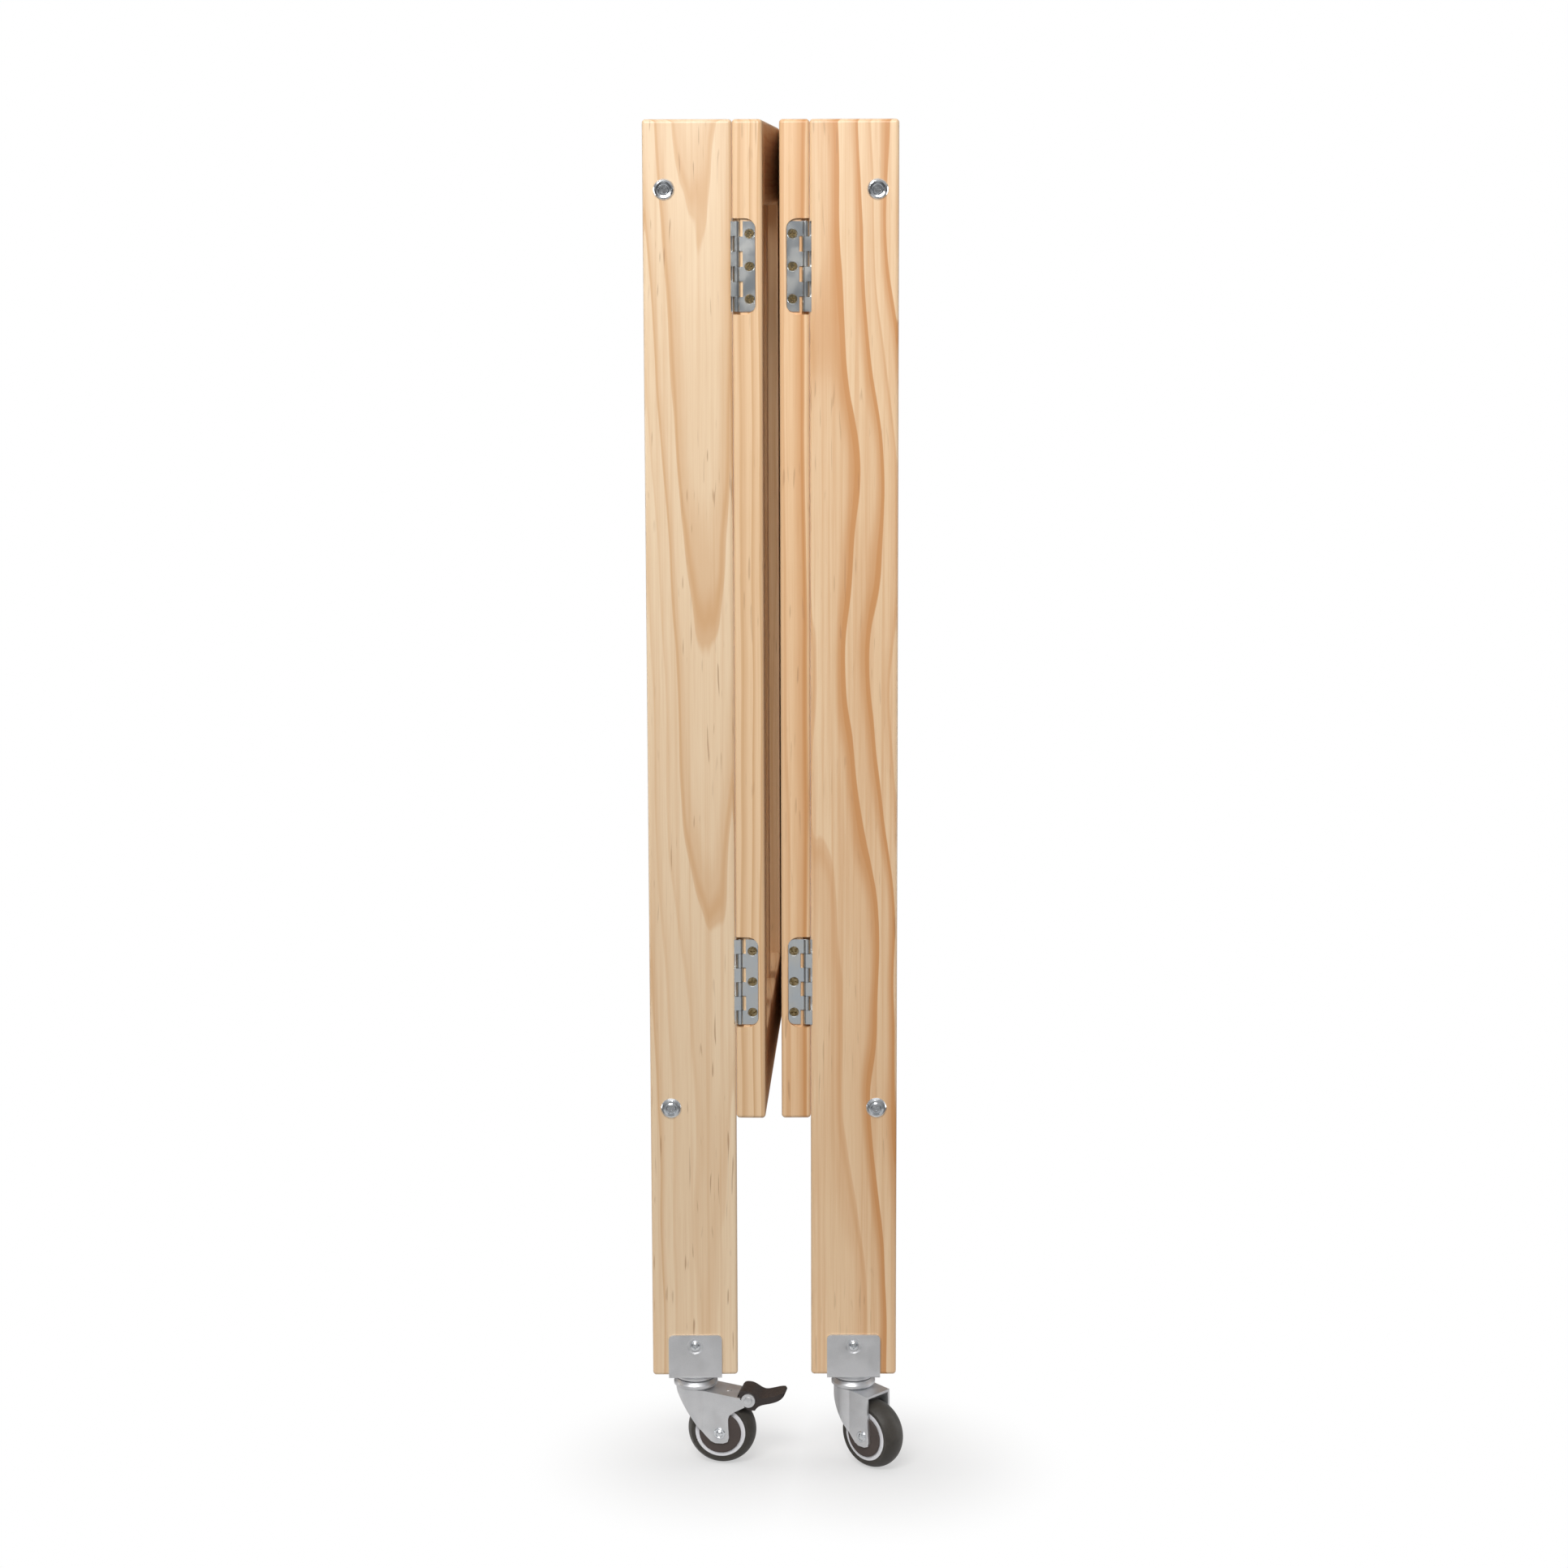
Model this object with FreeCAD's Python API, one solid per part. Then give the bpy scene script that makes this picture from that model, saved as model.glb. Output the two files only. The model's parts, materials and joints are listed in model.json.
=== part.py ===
"""Folding tray table on casters: two leg frames joined by a pair of slatted gates that fold between them.

Millimetres, +Z up. The table stands folded, its narrow front end towards -Y. The origin is on the floor,
under the centre of the folded table's bounding box.

Each side is built as the left side, in plan coordinates whose origin is that side's front hinge axis:
+X points to the middle of the table and +Y to the rear. The right side is its mirror image.
"""

import FreeCAD, Part
import os
from math import atan2, cos, radians, sin, sqrt

Vector = FreeCAD.Vector

# Overall sizes
SHEET = 2.0  # steel of the caster brackets
POST_WIDTH = 63.0
POST_DEPTH = 38.0
POST_LENGTH = 920.0
FRAME_DEPTH = 400.0
POSTS_APART = 54.6  # between the front posts' inner faces, folded
WOOD_EDGE = 2.6  # rounding of the posts' and gates' edges

# Cross rails of the leg frames
RAIL_THICKNESS = 30.0
RAIL_HEIGHT = 60.0
TOP_RAIL_DROP = 48.6  # post top to the top rail's centre line
BOTTOM_RAIL_RISE = 205.0  # post bottom to the bottom rail's centre line

# Gates
GATE_LENGTH = 293.0
GATE_HEIGHT = 723.0
GATE_THICKNESS = 21.3
GATE_GAP = 0.06  # to the post's inner face
STILE = 28.0
GATE_TOP_RAIL = 60.0
GATE_BOTTOM_RAIL = 62.0
SLATS = 2
SLAT_WIDTH = 24.0
SLAT_THICKNESS = 11.0
SLAT_EDGE = 2.0
TENON_THICKNESS = 6.0
TENON = 8.0
TENON_PLAY = 0.15

# Angles of the folded table, anticlockwise from above
LEFT_GATE_YAW = -2.3
RIGHT_GATE_YAW = 0.0
LEFT_FRAME_YAW = 0.95
RIGHT_FRAME_YAW = -0.6
LEFT_CASTER_HEADING = -9.0
RIGHT_CASTER_HEADING = -44.0
REAR_CASTER_HEADING = 90.0

# Butt hinges
HINGE_LENGTH = 63.5
HINGE_INSET = 102.5  # gate's end to the hinge's centre
LEAF = 1.2
LEAF_REACH = 13.4  # hinge axis to the leaf's free edge
LEAF_CORNER = 4.5
KNUCKLES = 6
KNUCKLE_RADIUS = 2.5
KNUCKLE_GAP = 0.3
KNUCKLE_SLOT = 4.6  # hinge axis to the end of the slots for the other leaf's knuckles
PIN_RADIUS = 1.3
PIN_PLAY = 0.05
AXIS_IN_GATE = 2.75  # gate's outer face to the hinge axis
HINGE_SCREW_PITCH = 22.9
HINGE_SCREW_OUT = 9.4  # hinge axis to the screws
HINGE_RECESS_DEPTH = 2.7
HINGE_RECESS_REACH = 13.9
HINGE_RECESS_CORNER = 8.0
HINGE_RECESS_SPARE = 2.0  # beyond each end of the leaf
KNUCKLE_SPARE = 0.35
SCREW_SINK = 0.5  # leaf's face to a screw's head
MID_AXIS_BEYOND = 0.4  # right gate's far end to the middle hinge axis

# Connector bolts with barrel nuts
BOLT_RADIUS = 3.0
BOLT_HEAD_RADIUS = 7.5
BOLT_HEAD_RISE = 1.6
BOLT_LENGTH = 70.0
BOLT_HOLE_PLAY = 0.2
NUT_RADIUS = 5.0
NUT_LENGTH = 16.0
NUT_DEPTH = 26.0  # rail's end to the nut's axis

# Caster brackets
BRACKET_WIDTH = 39.4
BRACKET_HEIGHT = 33.3
BRACKET_CORNER = 3.4
BRACKET_SCREW_DROP = 8.1
DISH_RADIUS = 6.2
DISH_DEPTH = 0.5
PAN_HEAD_RADIUS = 3.8
PAN_HEAD_RISE = 2.4

# Casters
WHEEL_RADIUS = 25.7
CASTER_HEIGHT = WHEEL_RADIUS + 45.0
TRAIL = 20.0
TYRE_HALF_WIDTH = 9.5
CORE_RADIUS = 18.9
CORE_RIM = 15.2  # inner radius of the core's rim
AXLE_RADIUS = 3.0
AXLE_PLAY = 0.08
RACE_RADIUS = 15.0
LOWER_RACE_RADIUS = 16.4
RACE_DROP = 5.6  # bracket's underside to the bottom of the upper race
RACE_GAP = 0.3
KINGPIN_RADIUS = 4.0
KINGPIN_PLAY = 0.08
FORK_HALF_WIDTH = 12.5
FORK_NOSE_RADIUS = 14.6
FORK_WALL = 1.8
FORK_TOP = WHEEL_RADIUS + 33.4  # at the swivel axis
FORK_FLAT = 3.0  # swivel axis to where the fork's top plate starts to slope
FORK_END = 25.2
FORK_DROP = 1.6  # fall of the top plate from there to its end
BRAKE_PLATE_END = 33.0
BRAKE_PLATE_DROP = 5.4
GUARD_RADIUS = 15.8
GUARD_INNER_FACE = 9.8
BRAKE_PIVOT = (41.7, WHEEL_RADIUS + 26.6)
BRAKE_PIVOT_RADIUS = 2.2
BRAKE_BOSS_RADIUS = 5.2
BRAKE_PRESS = 16.0  # degrees from free to locked
BRAKE_CAM_REACH = 8.2
BRAKE_CAM_RADIUS = 3.0
PEDAL_HALF_WIDTH = 10.6
PEDAL_TOE_RADIUS = 7.5

# Places that follow from the sizes, in a side's own plan coordinates
POST_BOTTOM = CASTER_HEIGHT + SHEET
POST_TOP = POST_BOTTOM + POST_LENGTH
FRONT = -HINGE_RECESS_DEPTH
REAR = FRONT + FRAME_DEPTH
GATE_OUTER = -AXIS_IN_GATE
GATE_INNER = GATE_OUTER + GATE_THICKNESS
GATE_BOTTOM = POST_TOP - GATE_HEIGHT
GATE_FAR = FRONT + GATE_LENGTH
POST_INNER = GATE_OUTER - GATE_GAP
POST_OUTER = POST_INNER - POST_WIDTH
BOLT_X = POST_OUTER + RAIL_THICKNESS / 2
RAIL_INNER = POST_OUTER + RAIL_THICKNESS
SWIVEL_X = (POST_INNER + POST_OUTER) / 2
TOP_RAIL_Z = POST_TOP - TOP_RAIL_DROP
BOTTOM_RAIL_Z = POST_BOTTOM + BOTTOM_RAIL_RISE
HINGE_CENTRES = (GATE_BOTTOM + HINGE_INSET, POST_TOP - HINGE_INSET)
AXIS_X = POSTS_APART / 2 + POST_INNER
UP = Vector(0, 0, 1)


# Solids

def box(x0, x1, y0, y1, z0, z1):
    return Part.makeBox(x1 - x0, y1 - y0, z1 - z0, Vector(x0, y0, z0))


def member(x0, x1, y0, y1, z0, z1, edge=WOOD_EDGE):
    """A planed piece of wood with all its edges rounded."""
    solid = box(x0, x1, y0, y1, z0, z1)
    return solid.makeFillet(edge, solid.Edges)


def rod(radius, start, direction, length):
    return Part.makeCylinder(radius, length, Vector(*start), Vector(*direction))


def prism(points, depth, direction):
    """The closed outline through points, extruded by depth along direction."""
    corners = [Vector(*p) for p in points]
    face = Part.Face(Part.makePolygon(corners + corners[:1]))
    return face.extrude(Vector(*direction) * depth)


def lathe(profile):
    """The closed outline through (radius, height) points, turned about Z."""
    corners = [Vector(r, 0, z) for r, z in profile]
    face = Part.Face(Part.makePolygon(corners + corners[:1]))
    return face.revolve(Vector(0, 0, 0), UP, 360)


def aim(shape, start, direction):
    """A shape made along +Z from the origin, moved to start and turned to point along direction."""
    turn = FreeCAD.Rotation(UP, Vector(*direction))
    moved = shape.copy()
    moved.Placement = FreeCAD.Placement(Vector(*start), turn).multiply(moved.Placement)
    return moved


def group(shapes):
    return Part.makeCompound(shapes)


def cut_all(shape, tools):
    for tool in tools:
        shape = shape.cut(tool)
    return shape


# Fasteners, made along +Z into the work, with the seat of the head at the origin

def cross_recess(span, width, depth, top):
    """Phillips recess going down from a head whose face is at -top."""
    arms = [
        box(-span / 2, span / 2, -width / 2, width / 2, -top, depth - top),
        box(-width / 2, width / 2, -span / 2, span / 2, -top, depth - top),
    ]
    return arms[0].fuse(arms[1])


def countersink(sink=0.0, length=15.0):
    """A countersunk hole, or the body of the screw in it when the head's face lies sink below the mouth."""
    mouth, shank = 3.7, 1.5
    return lathe([
        (0, sink), (mouth - sink, sink), (shank, mouth - shank), (shank, length - 3), (0, length),
    ])


def countersunk_screw():
    return countersink(SCREW_SINK).cut(cross_recess(3.8, 0.9, 1.4, -SCREW_SINK))


def pan_screw(length=22.0, shank_radius=2.0):
    rim = 0.5
    dome = [(0, -PAN_HEAD_RISE), (1.9, -PAN_HEAD_RISE + 0.15), (3.1, -PAN_HEAD_RISE + 0.8)]
    shank = [(PAN_HEAD_RADIUS, -rim), (PAN_HEAD_RADIUS, 0), (shank_radius, 0)]
    tip = [(shank_radius, length - 4), (0, length)]
    return lathe(dome + shank + tip).cut(cross_recess(4.4, 1.1, 1.7, PAN_HEAD_RISE))


def connector_bolt():
    """Furniture bolt: a thin domed flange with a raised core that holds the cross recess."""
    head = lathe([
        (0, -BOLT_HEAD_RISE), (2.9, -BOLT_HEAD_RISE), (3.3, -BOLT_HEAD_RISE + 0.5),
        (4.1, -BOLT_HEAD_RISE + 0.9),
        (4.4, -BOLT_HEAD_RISE + 0.3), (5.6, -BOLT_HEAD_RISE), (6.7, -BOLT_HEAD_RISE + 0.45),
        (BOLT_HEAD_RADIUS, -0.3), (BOLT_HEAD_RADIUS, 0), (0, 0),
    ])
    shank = rod(BOLT_RADIUS, (0, 0, 0), (0, 0, 1), BOLT_LENGTH)
    return head.fuse(shank).cut(cross_recess(4.6, 1.1, 1.8, BOLT_HEAD_RISE))


# Hinges

def knuckle_spans(centre, first):
    """(bottom, top) of every second knuckle of a barrel; first is 0 or 1, counted from the top."""
    pitch = HINGE_LENGTH / KNUCKLES
    top = centre + HINGE_LENGTH / 2
    spans = []
    for i in range(first, KNUCKLES, 2):
        spans.append((top - (i + 1) * pitch + KNUCKLE_GAP / 2, top - i * pitch - KNUCKLE_GAP / 2))
    return spans


def upright(radius, at, span):
    return rod(radius, (at[0], at[1], span[0]), (0, 0, 1), span[1] - span[0])


def is_free_corner(edge, at, far):
    """Whether an edge of a leaf's plate runs through its thickness at the side away from the axis at."""
    ends = [abs(v.X - at[0]) + abs(v.Y - at[1]) for v in edge.Vertexes]
    return edge.BoundBox.ZLength < 0.1 and min(ends) > far - 2 * LEAF and edge.Length < 2 * LEAF


def hinge_leaf(plate, arm, at, centre, first, screws, has_pin):
    """A leaf: its plate and arms are (x0, x1, y0, y1); at is the hinge axis in plan."""
    low, high = centre - HINGE_LENGTH / 2, centre + HINGE_LENGTH / 2
    leaf = box(*plate, low, high)
    far = max(abs(v.X - at[0]) + abs(v.Y - at[1]) for v in leaf.Vertexes)
    corners = [e for e in leaf.Edges if is_free_corner(e, at, far)]
    leaf = leaf.makeFillet(LEAF_CORNER, corners)
    for span in knuckle_spans(centre, 1 - first):
        wide = (span[0] - KNUCKLE_GAP, span[1] + KNUCKLE_GAP)
        span = [at[axis] + side * KNUCKLE_SLOT for axis in (0, 1) for side in (-1, 1)]
        slot = box(*span, *wide)
        leaf = leaf.cut(slot)
    for span in knuckle_spans(centre, first):
        leaf = leaf.fuse(box(*arm, *span)).fuse(upright(KNUCKLE_RADIUS, at, span))
    if has_pin:
        leaf = leaf.fuse(upright(PIN_RADIUS, at, (low, high)))
    else:
        leaf = leaf.cut(upright(PIN_RADIUS + PIN_PLAY, at, (low - 1, high + 1)))
    return cut_all(leaf, screws).removeSplitter()


def screw_rows(x, y, seat_direction, centre, make):
    """Three screws, one above the other, with their heads' seats at (x, y)."""
    rows = []
    for step in (-1, 0, 1):
        start = (x, y, centre + step * HINGE_SCREW_PITCH)
        rows.append(aim(make(), start, seat_direction))
    return rows


def barrel_notch(at, centre):
    low, high = centre - HINGE_LENGTH / 2 - HINGE_RECESS_SPARE, centre + HINGE_LENGTH / 2 + HINGE_RECESS_SPARE
    return upright(KNUCKLE_RADIUS + KNUCKLE_SPARE, at, (low, high))


def hinge_recess(centre):
    """Pocket in the gate's near end, round at its inner corners and open towards the post."""
    half = HINGE_LENGTH / 2 + HINGE_RECESS_SPARE
    pocket = box(GATE_OUTER - 1, HINGE_RECESS_REACH, FRONT - 1, 0, centre - half, centre + half)
    inner = [e for e in pocket.Edges if e.BoundBox.XMin > HINGE_RECESS_REACH - 0.1]
    return pocket.makeFillet(HINGE_RECESS_CORNER, [e for e in inner if e.BoundBox.ZLength < 0.1])


# Leg frame

def bracket():
    """U-shaped steel saddle under a post, centred on the swivel axis, with the caster's race and kingpin."""
    half, low, high = BRACKET_WIDTH / 2, CASTER_HEIGHT, CASTER_HEIGHT + BRACKET_HEIGHT
    reach = POST_DEPTH / 2 + SHEET
    outer = box(-half, half, -reach, reach, low, high)
    bends = [e for e in outer.Edges if e.BoundBox.ZMax < low + 0.1 and e.BoundBox.YLength < 0.1]
    outer = outer.makeFillet(SHEET, bends)
    corners = [e for e in outer.Edges if e.BoundBox.ZMin > high - 0.1 and e.BoundBox.XLength < 0.1]
    outer = outer.makeFillet(BRACKET_CORNER, corners)
    saddle = outer.cut(box(-half - 1, half + 1, -POST_DEPTH / 2, POST_DEPTH / 2, low + SHEET, high + 1))
    for side in (-1, 1):
        seat = (0, side * reach, high - BRACKET_SCREW_DROP)
        dish = lathe([(0, 0), (DISH_RADIUS, 0), (DISH_RADIUS - 1.2, DISH_DEPTH), (0, DISH_DEPTH)])
        saddle = saddle.cut(aim(dish, seat, (0, -side, 0)))
        saddle = saddle.cut(aim(rod(2.0, (0, 0, -1), (0, 0, 1), 9), seat, (0, -side, 0)))
    race_low = CASTER_HEIGHT - RACE_DROP
    race = lathe([
        (0, race_low), (13.6, race_low), (14.6, race_low + 0.8), (RACE_RADIUS, race_low + 2.2),
        (14.4, race_low + 3.8), (13.4, race_low + 4.8), (13.4, CASTER_HEIGHT), (0, CASTER_HEIGHT),
    ])
    head = FORK_TOP - FORK_WALL - 1.2
    pin = lathe([
        (0, race_low), (KINGPIN_RADIUS, race_low), (KINGPIN_RADIUS, head), (6.0, head),
        (5.2, head - 1.6), (0, head - 2.0),
    ])
    return saddle.fuse(race).fuse(pin).removeSplitter()


def bracket_screws(at):
    screws = []
    for side in (-1, 1):
        face = at[1] + side * (POST_DEPTH / 2 + SHEET - DISH_DEPTH)
        start = (at[0], face, CASTER_HEIGHT + BRACKET_HEIGHT - BRACKET_SCREW_DROP)
        screws.append(aim(pan_screw(15.0), start, (0, -side, 0)))
    return screws


def post_leaf_plate():
    return (POST_INNER - LEAF, POST_INNER, FRONT + 0.1, LEAF_REACH)


def leg_frame(top_knuckle):
    """The parts of one leg frame by name. top_knuckle is 0 where the post's leaves hold the top knuckle."""
    posts = {
        "front": member(POST_OUTER, POST_INNER, FRONT, FRONT + POST_DEPTH, POST_BOTTOM, POST_TOP),
        "rear": member(POST_OUTER, POST_INNER, REAR - POST_DEPTH, REAR, POST_BOTTOM, POST_TOP),
    }
    swivels = swivel_points()
    rails, bolts, nuts, holes = {}, [], [], []
    for name, z in (("top", TOP_RAIL_Z), ("bottom", BOTTOM_RAIL_Z)):
        low, high = z - RAIL_HEIGHT / 2, z + RAIL_HEIGHT / 2
        ends = (FRONT + POST_DEPTH, REAR - POST_DEPTH)
        rail = box(POST_OUTER, RAIL_INNER, *ends, low, high)
        rail = rail.makeFillet(WOOD_EDGE, [e for e in rail.Edges if e.BoundBox.YLength > 100])
        for face, way, end in ((FRONT, 1, ends[0]), (REAR, -1, ends[1])):
            bolts.append(aim(connector_bolt(), (BOLT_X, face, z), (0, way, 0)))
            start = (BOLT_X, face - way, z)
            holes.append(rod(BOLT_RADIUS + BOLT_HOLE_PLAY, start, (0, way, 0), BOLT_LENGTH + 2))
            centre = end + way * NUT_DEPTH
            nut = rod(NUT_RADIUS, (RAIL_INNER - NUT_LENGTH, centre, z), (1, 0, 0), NUT_LENGTH - 1)
            nuts.append(nut.cut(rod(BOLT_RADIUS, (BOLT_X, centre - 10, z), (0, 1, 0), 20)))
            rail = rail.cut(rod(NUT_RADIUS, (RAIL_INNER - NUT_LENGTH, centre, z), (1, 0, 0), NUT_LENGTH + 1))
        rails[name] = cut_all(rail, holes[-2:])
    axis = (0, 0)
    leaves, leaf_screws = [], []
    for centre in HINGE_CENTRES:
        plate = post_leaf_plate()
        arm = (POST_INNER - LEAF, 0, -KNUCKLE_RADIUS, -KNUCKLE_RADIUS + LEAF)
        sinks = screw_rows(POST_INNER, HINGE_SCREW_OUT, (-1, 0, 0), centre, countersink)
        leaves.append(hinge_leaf(plate, arm, axis, centre, top_knuckle, sinks, True))
        leaf_screws += screw_rows(POST_INNER, HINGE_SCREW_OUT, (-1, 0, 0), centre, countersunk_screw)
        half = HINGE_LENGTH / 2
        mortise = box(POST_INNER - LEAF, POST_INNER + 1, FRONT - 1, LEAF_REACH, centre - half, centre + half)
        posts["front"] = cut_all(posts["front"].cut(mortise), sinks)
    screws = []
    for name in ("front", "rear"):
        screws += bracket_screws(swivels[name])
        posts[name] = cut_all(posts[name], holes + screws)
    brackets = [bracket().translated(Vector(*swivels[name], 0)) for name in ("front", "rear")]
    return {
        "front_post": posts["front"],
        "rear_post": posts["rear"],
        "top_rail": rails["top"],
        "bottom_rail": rails["bottom"],
        "connector_bolts": group(bolts),
        "barrel_nuts": group(nuts),
        "caster_brackets": group(brackets),
        "bracket_screws": group(screws),
        "post_hinge_leaves": group(leaves),
        "post_hinge_screws": group(leaf_screws),
    }


def swivel_points():
    half = POST_DEPTH / 2
    return {"front": (SWIVEL_X, FRONT + half), "rear": (SWIVEL_X, REAR - half)}


# Gates

def tenon(y0, y1, z0, z1, play=0.0):
    """A tongue in the middle of the gate's thickness, or with some play the mortise that takes it."""
    middle, half = (GATE_OUTER + GATE_INNER) / 2, TENON_THICKNESS / 2 + play
    return box(middle - half, middle + half, y0 - 3 * play, y1 + 3 * play, z0 - 3 * play, z1 + 3 * play)


def gate_woodwork():
    """The gate's wooden pieces: two stiles, two rails tenoned into them, and slats tenoned into the rails."""
    low, high = GATE_BOTTOM, POST_TOP
    near, far = FRONT + STILE, GATE_FAR - STILE
    opening = (low + GATE_BOTTOM_RAIL, high - GATE_TOP_RAIL)
    pieces = {
        "near_stile": member(GATE_OUTER, GATE_INNER, FRONT, near, low, high),
        "far_stile": member(GATE_OUTER, GATE_INNER, far, GATE_FAR, low, high),
    }
    rail_spans = {"top_rail": (opening[1], high), "bottom_rail": (low, opening[0])}
    for name, (z0, z1) in rail_spans.items():
        rail = box(GATE_OUTER, GATE_INNER, near, far, z0, z1)
        rail = rail.makeFillet(WOOD_EDGE, [e for e in rail.Edges if e.BoundBox.YLength > 100])
        reach = (near - TENON, far + TENON, z0 + TENON, z1 - TENON)
        pieces[name] = rail.fuse(tenon(*reach))
        for stile in ("near_stile", "far_stile"):
            pieces[stile] = pieces[stile].cut(tenon(*reach, TENON_PLAY))
    middle, half = (GATE_OUTER + GATE_INNER) / 2, SLAT_THICKNESS / 2
    gap = (far - near - SLATS * SLAT_WIDTH) / (SLATS + 1)
    for i in range(SLATS):
        y0 = near + gap + i * (gap + SLAT_WIDTH)
        slat = box(middle - half, middle + half, y0, y0 + SLAT_WIDTH, *opening)
        slat = slat.makeFillet(SLAT_EDGE, [e for e in slat.Edges if e.BoundBox.ZLength > 100])
        reach = (y0 + SLAT_EDGE, y0 + SLAT_WIDTH - SLAT_EDGE, opening[0] - TENON, opening[1] + TENON)
        pieces["slat_" + str(i + 1)] = slat.fuse(tenon(*reach))
        for rail in rail_spans:
            pieces[rail] = pieces[rail].cut(tenon(*reach, TENON_PLAY))
    return pieces


def gate(top_knuckle, mid_axis, mid_knuckle):
    """The parts of one gate by name, with its two front hinge leaves and its two middle hinge leaves.

    mid_axis is the middle hinge axis in the gate's own plan coordinates.
    """
    pieces = gate_woodwork()
    near, far = pieces["near_stile"], pieces["far_stile"]
    leaves, screws = [], []
    mid_reach = LEAF_REACH + AXIS_IN_GATE
    for centre in HINGE_CENTRES:
        plate, arm = (0, LEAF_REACH, -LEAF, 0), (0, KNUCKLE_RADIUS, -LEAF, 0)
        spot = (HINGE_SCREW_OUT, -LEAF)
        sinks = screw_rows(*spot, (0, 1, 0), centre, countersink)
        leaves.append(hinge_leaf(plate, arm, (0, 0), centre, 1 - top_knuckle, sinks, False))
        screws += screw_rows(*spot, (0, 1, 0), centre, countersunk_screw)
        near = cut_all(near, [hinge_recess(centre), barrel_notch((0, 0), centre)] + sinks)

        plate = (mid_axis[0] - mid_reach, GATE_INNER, GATE_FAR - LEAF, GATE_FAR)
        arm = (mid_axis[0] - KNUCKLE_RADIUS, mid_axis[0], GATE_FAR - LEAF, mid_axis[1])
        spot = (mid_axis[0] - HINGE_SCREW_OUT - AXIS_IN_GATE, GATE_FAR)
        sinks = screw_rows(*spot, (0, -1, 0), centre, countersink)
        has_pin = mid_knuckle == 0
        leaves.append(hinge_leaf(plate, arm, mid_axis, centre, mid_knuckle, sinks, has_pin))
        screws += screw_rows(*spot, (0, -1, 0), centre, countersunk_screw)
        half = HINGE_LENGTH / 2
        mortise = box(plate[0], GATE_INNER + 1, GATE_FAR - LEAF, GATE_FAR + 1, centre - half, centre + half)
        far = cut_all(far, [mortise, barrel_notch(mid_axis, centre)] + sinks)
    hardware = {"hinge_leaves": group(leaves), "hinge_screws": group(screws)}
    return {**pieces, "near_stile": near, "far_stile": far, **hardware}


# Casters, in plan coordinates with the swivel axis at the origin and the wheel trailing along +X

def fork_plan(inset):
    """Plan of the fork: a round nose about the swivel axis and straight sides, inset by the wall."""
    nose, half = FORK_NOSE_RADIUS - inset, FORK_HALF_WIDTH - inset
    shoulder = sqrt(nose * nose - half * half)
    far = 60.0
    arc = Part.Arc(Vector(shoulder, half, 0), Vector(-nose, 0, 0), Vector(shoulder, -half, 0)).toShape()
    sides = Part.makePolygon([
        Vector(shoulder, -half, 0), Vector(far, -half, 0), Vector(far, half, 0), Vector(shoulder, half, 0),
    ])
    return Part.Face(Part.Wire([arc] + sides.Edges)).extrude(Vector(0, 0, CASTER_HEIGHT))


def fork_profile(braked):
    """Side view of the fork: a leg down to the axle, and on a braked caster an arm to the pedal's pivot."""
    outline = [  # heights above the axle
        (-14.7, FORK_TOP - WHEEL_RADIUS), (-14.7, 32.0), (-12.2, 28.5), (2.4, 6.7), (8.9, -1.7), (13.3, -6.2),
        (16.7, -7.8), (22.6, -7.8), (26.0, -6.4), (27.0, -3.2),
    ]
    if braked:
        outline += [(26.4, 11.0), (27.4, 14.2), (31.2, 17.2), (39.0, 21.3), (BRAKE_PLATE_END + 2.5, 28.2)]
    else:
        outline += [(FORK_END + 0.4, 15.0), (FORK_END, FORK_TOP - FORK_DROP - WHEEL_RADIUS)]
    outline.append((FORK_FLAT, FORK_TOP - WHEEL_RADIUS))
    leg = prism([(x, -40, z + WHEEL_RADIUS) for x, z in outline], 80, (0, 1, 0))
    if braked:
        x, z = BRAKE_PIVOT
        leg = leg.fuse(rod(BRAKE_BOSS_RADIUS, (x, -40, z), (0, 1, 0), 80))
    return leg


def fork_roof(braked, lowered):
    """Everything under the fork's sloping top plate, when that is lowered."""
    end, drop = (BRAKE_PLATE_END, BRAKE_PLATE_DROP) if braked else (FORK_END, FORK_DROP)
    beyond = end + 30
    beyond_z = FORK_TOP - drop * (beyond - FORK_FLAT) / (end - FORK_FLAT)
    top = [(-30, FORK_TOP), (FORK_FLAT, FORK_TOP), (beyond, beyond_z)]
    outline = [(x, -40, z - lowered) for x, z in top] + [(beyond, -40, 0), (-30, -40, 0)]
    return prism(outline, 80, (0, 1, 0))


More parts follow.
